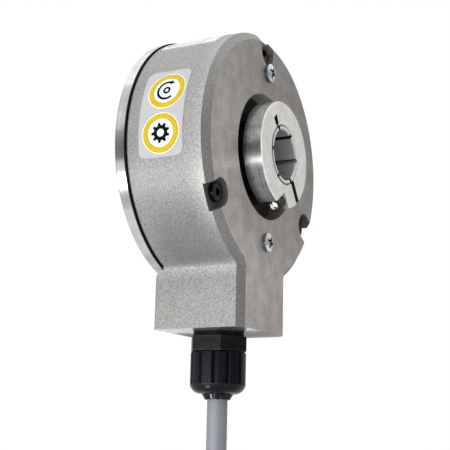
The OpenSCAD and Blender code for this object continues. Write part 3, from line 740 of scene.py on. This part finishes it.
# plain marks: a turning arrow about a hub, and a toothed wheel
ink += [arc(c1, 3.7, -40, 195, 1.0), arrow_head(c1, 3.7, 195, 1.5, 1), annulus(c1, 0.7, 1.6, 40)]
ink += [cog(c2, 1.5, 2.95, 3.9, 9)]
decal("label_halo", pale, T0, 50.115, "label_pale")
decal("label_centre", white, T0, 50.13, "label_white")
decal("label_ring", yellow, T0, 50.145, "label_yellow")
decal("label_symbols", ink, T0, 50.145, "label_ink")

foil = decal("type_label_film", [patch(round_rect((0, 20.25), 68.0, 26.4, 1.0), (0, 20.25), 40)], 90.0, 50.10, "foil", thick=0.08)
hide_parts("type_label")


def frame_line(c, w, h, t):
    """Four strokes round a rectangle."""
    x0, x1, y0, y1 = c[0] - w / 2, c[0] + w / 2, c[1] - h / 2, c[1] + h / 2
    return [stroke((x0, y0), (x1, y0), t), stroke((x0, y1), (x1, y1), t), stroke((x0, y0 + t / 2), (x0, y1 - t / 2), t), stroke((x1, y0 + t / 2), (x1, y1 - t / 2), t)]


lines = frame_line((0, 20.25), 66.6, 25.0, 0.6) + frame_line((0, 22.5), 60.0, 16.0, 0.5)
decal("type_label_lines", lines, 90.0, 50.115, "foil_line")

# ---------------------------------------------------------------- small parts made here
# copper ends of the five cores
verts, faces = [], []
for a in (162, 234, 90, 306, 18):
    t = math.radians(a)
    cx, cy = 1.5 * math.cos(t), 20 + 1.5 * math.sin(t)
    z0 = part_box("wire_red")[0].z / MM
    o = len(verts)
    n = 14
    for z in (z0 + 0.5, z0 - 4.0):
        verts += [Vector((cx + 0.34 * math.cos(2 * math.pi * i / n), cy + 0.34 * math.sin(2 * math.pi * i / n), z)) * MM for i in range(n)]
    faces += [(o + i, o + (i + 1) % n, o + n + (i + 1) % n, o + n + i) for i in range(n)]
    faces += [tuple(o + i for i in range(n))[::-1], tuple(o + n + i for i in range(n))]
mesh_obj("core_tips", verts, faces, "copper", "housing_body")

# strands of the braid where it stands out of the jacket
verts, faces = [], []
z1, z0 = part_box("cable_jacket")[0].z / MM - 0.05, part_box("cable_shield")[0].z / MM + 0.05
for sense in (-1, 1):
    for k in range(16):
        o, steps, sides = len(verts), 14, 6
        for j in range(steps + 1):
            z = z0 + (z1 - z0) * j / steps
            t = 2 * math.pi * k / 16 + sense * (z - z0) * 0.42
            rc = 2.84 + 0.05 * sense * math.cos(j * math.pi / 2 + k)
            for q in range(sides):
                u = 2 * math.pi * q / sides
                rr_ = rc + 0.11 * math.cos(u)
                tt = t + 0.17 * math.sin(u) / rc
                verts.append(Vector((rr_ * math.cos(tt), 20 + rr_ * math.sin(tt), z)) * MM)
        for j in range(steps):
            for q in range(sides):
                a0, b0 = o + j * sides, o + (j + 1) * sides
                faces.append((a0 + q, a0 + (q + 1) % sides, b0 + (q + 1) % sides, b0 + q))
        faces.append(tuple(o + q for q in range(sides))[::-1])
        faces.append(tuple(o + steps * sides + q for q in range(sides)))
mesh_obj("braid_strands", verts, faces, "tinned", "housing_body")

# code disc tracks on the glass, facing the reader
verts, faces = [], []
for r0, r1, cnt in ((26.2, 29.8, 180), (23.8, 25.4, 60)):
    for i in range(cnt):
        a0, a1 = 2 * math.pi * i / cnt, 2 * math.pi * (i + 0.5) / cnt
        o = len(verts)
        for r, a in ((r0, a0), (r1, a0), (r1, a1), (r0, a1)):
            verts.append(Vector((r * math.cos(a), 32.505, r * math.sin(a))) * MM)
        faces.append((o, o + 1, o + 2, o + 3))
tracks = mesh_obj("disc_tracks", verts, faces, "chip", "rotor", smooth=False)
sol = tracks.modifiers.new("thickness", "SOLIDIFY")
sol.thickness = 0.01 * MM

# leads of the chips
verts, faces = [], []


def box_at(deg, r, cx, y0, y1, cz, wx, wz):
    t = math.radians(deg)
    o = len(verts)
    for y in (y0, y1):
        for dx, dz in ((-wx, -wz), (wx, -wz), (wx, wz), (-wx, wz)):
            u, v = r + cx + dx, cz + dz
            verts.append(Vector((u * math.cos(t) - v * math.sin(t), y, u * math.sin(t) + v * math.cos(t))) * MM)
    faces.extend([(o, o + 3, o + 2, o + 1), (o + 4, o + 5, o + 6, o + 7), (o, o + 1, o + 5, o + 4), (o + 1, o + 2, o + 6, o + 5),
                  (o + 2, o + 3, o + 7, o + 6), (o + 3, o, o + 4, o + 7)])


for k in range(8):
    p = -3.5 + k
    for s in (-1, 1):
        box_at(90, 31, p, 21.63, 21.85, s * 5.0, 0.17, 0.5)
        box_at(90, 31, s * 5.0, 21.63, 21.85, p, 0.5, 0.17)
for deg in (35, 140, 218):
    for k in range(4):
        for s in (-1, 1):
            box_at(deg, 31, s * 2.95, 21.63, 21.85, -2.1 + 1.4 * k, 0.45, 0.2)
mesh_obj("chip_leads", verts, faces, "steel", "housing_body", smooth=False)

# ---------------------------------------------------------------- light and backdrop
# A soft studio: what the object sees is a smooth sum of broad lobes, what the camera sees is white.
ENV = {"base": 0.095, "top": 1.66, "left": 0.0, "front": 0.0, "right": 0.32, "back": 0.36}
POWER = {"left_high": 1.4, "left_low": 0.75, "gland_glint": 0.045, "screw_glint": 0.10}
CAM_WHITE = 1.0

world = bpy.data.worlds.new("studio")
scene.world = world
world.use_nodes = True
wt = world.node_tree
for n in list(wt.nodes):
    wt.nodes.remove(n)
wo = wt.nodes.new("ShaderNodeOutputWorld")
lp = wt.nodes.new("ShaderNodeLightPath")
mix = wt.nodes.new("ShaderNodeMixShader")
bg_cam = wt.nodes.new("ShaderNodeBackground")
bg_cam.inputs[0].default_value = (1, 1, 1, 1)
bg_cam.inputs[1].default_value = CAM_WHITE
bg_env = wt.nodes.new("ShaderNodeBackground")
tc = wt.nodes.new("ShaderNodeTexCoord")
sx = wt.nodes.new("ShaderNodeSeparateXYZ")
wt.links.new(tc.outputs["Generated"], sx.inputs[0])
total = math_node(wt, "ADD", 0.0, ENV["base"])
for key, socket, sign in (("top", 2, 1.0), ("left", 0, -1.0), ("right", 0, 1.0), ("front", 1, -1.0), ("back", 1, 1.0)):
    lobe = math_node(wt, "MAXIMUM", math_node(wt, "MULTIPLY", sx.outputs[socket], sign), 0.0)
    lobe = math_node(wt, "POWER", lobe, 2.0)
    total = math_node(wt, "MULTIPLY_ADD", lobe, ENV[key], total)
wt.links.new(total, bg_env.inputs[1])
bg_env.inputs[0].default_value = (1, 1, 1, 1)
wt.links.new(lp.outputs["Is Camera Ray"], mix.inputs[0])
wt.links.new(bg_env.outputs[0], mix.inputs[1])
wt.links.new(bg_cam.outputs[0], mix.inputs[2])
wt.links.new(mix.outputs[0], wo.inputs[0])

AIM = Vector((0.0, 0.02, -0.02))


def area(name, az, el, dist, w, h):
    """A softbox; az is measured from the front (-Y) towards +X."""
    d = Vector((math.sin(math.radians(az)) * math.cos(math.radians(el)), -math.cos(math.radians(az)) * math.cos(math.radians(el)), math.sin(math.radians(el))))
    li = bpy.data.lights.new(name, "AREA")
    li.shape = "RECTANGLE"
    li.size, li.size_y = w, h
    li.energy = POWER[name]
    ob = bpy.data.objects.new(name, li)
    scene.collection.objects.link(ob)
    ob.location = AIM + d * dist
    ob.rotation_euler = (-d).to_track_quat("-Z", "Y").to_euler()
    ob.visible_camera = False
    return ob


area("left_high", -95, 32, 0.9, 0.6, 0.4)
area("left_low", -100, -18, 0.34, 0.45, 0.06)
AIM = Vector((0.0, 0.02, -0.104))
area("gland_glint", -117, -42, 0.085, 0.03, 0.016)
only = bpy.data.collections.new("gland_parts")
for name in ("gland_body", "gland_nut", "gland_claw_cage"):
    only.objects.link(N[name])
bpy.data.objects["gland_glint"].light_linking.receiver_collection = only
AIM = Vector((0.0095, -0.004, -0.0185))
area("screw_glint", -72, -28, 0.12, 0.02, 0.02)
only = bpy.data.collections.new("clamp_parts")
only.objects.link(N["clamp_screw"])
bpy.data.objects["screw_glint"].light_linking.receiver_collection = only

# ---------------------------------------------------------------- camera
a, e, r = (math.radians(v) for v in (61.949, -11.739, 1.240))
d = Vector((-math.sin(a) * math.cos(e), -math.cos(a) * math.cos(e), math.sin(e)))
right = Vector((math.cos(a), -math.sin(a), 0.0))
up = right.cross(-d)
rx = math.cos(r) * right + math.sin(r) * up
ry = -math.sin(r) * right + math.cos(r) * up
C = (Vector((3.204, 20.0, -25.622)) + d * 448.397) * MM
cam_data = bpy.data.cameras.new("camera")
cam = bpy.data.objects.new("camera", cam_data)
scene.collection.objects.link(cam)
mw = Matrix.Identity(4)
for i in range(3):
    mw[i][0], mw[i][1], mw[i][2], mw[i][3] = rx[i], ry[i], d[i], C[i]
cam.matrix_world = mw
cam_data.sensor_width = 36.0
cam_data.sensor_fit = "HORIZONTAL"
cam_data.lens = 1104.403 * 36 / 450
cam_data.clip_start = 0.01
cam_data.clip_end = 20
scene.camera = cam
scene.view_settings.view_transform = "Standard"
scene.view_settings.look = "None"
scene.view_settings.exposure = 0
scene.view_settings.gamma = 1

# ---------------------------------------------------------------- floor
me = bpy.data.meshes.new("floor")
R_F, n_f = 2.5, 96
fv = [(0.0, 0.0, -0.175)] + [(R_F * math.cos(2 * math.pi * k / n_f), R_F * math.sin(2 * math.pi * k / n_f), -0.175) for k in range(n_f)]
me.from_pydata(fv, [], [(0, 1 + k, 1 + (k + 1) % n_f) for k in range(n_f)])
floor = bpy.data.objects.new("floor", me)
scene.collection.objects.link(floor)
fm = plastic("floor_pale", (0.72, 0.72, 0.72), rough=0.7, amount=0.01, scale=8, strength=0.0, bev=0.0, spec=0.2)
nt = fm.node_tree
p = next(n for n in nt.nodes if n.type == "BSDF_PRINCIPLED")
lp = nt.nodes.new("ShaderNodeLightPath")
soft = noise(nt, coords(nt), 3.0, 1.0)
seen = ramp(nt, soft, [(0.3, (0.955, 0.955, 0.955)), (0.7, (0.975, 0.975, 0.975))])
nt.links.new(mixc(nt, lp.outputs["Is Camera Ray"], (0.72, 0.72, 0.72, 1.0), seen), p.inputs["Base Color"])
me.materials.append(fm)

# the low softbox stands just over the floor: it lights the object only, so it leaves no hard edge on the floor
unlit = bpy.data.collections.new("not_lit_by_low_box")
unlit.objects.link(floor)
unlit.collection_objects[0].light_linking.link_state = "EXCLUDE"
for name in ("left_low", "left_high"):
    bpy.data.objects[name].light_linking.receiver_collection = unlit

# ---------------------------------------------------------------- update
bpy.context.view_layer.update()
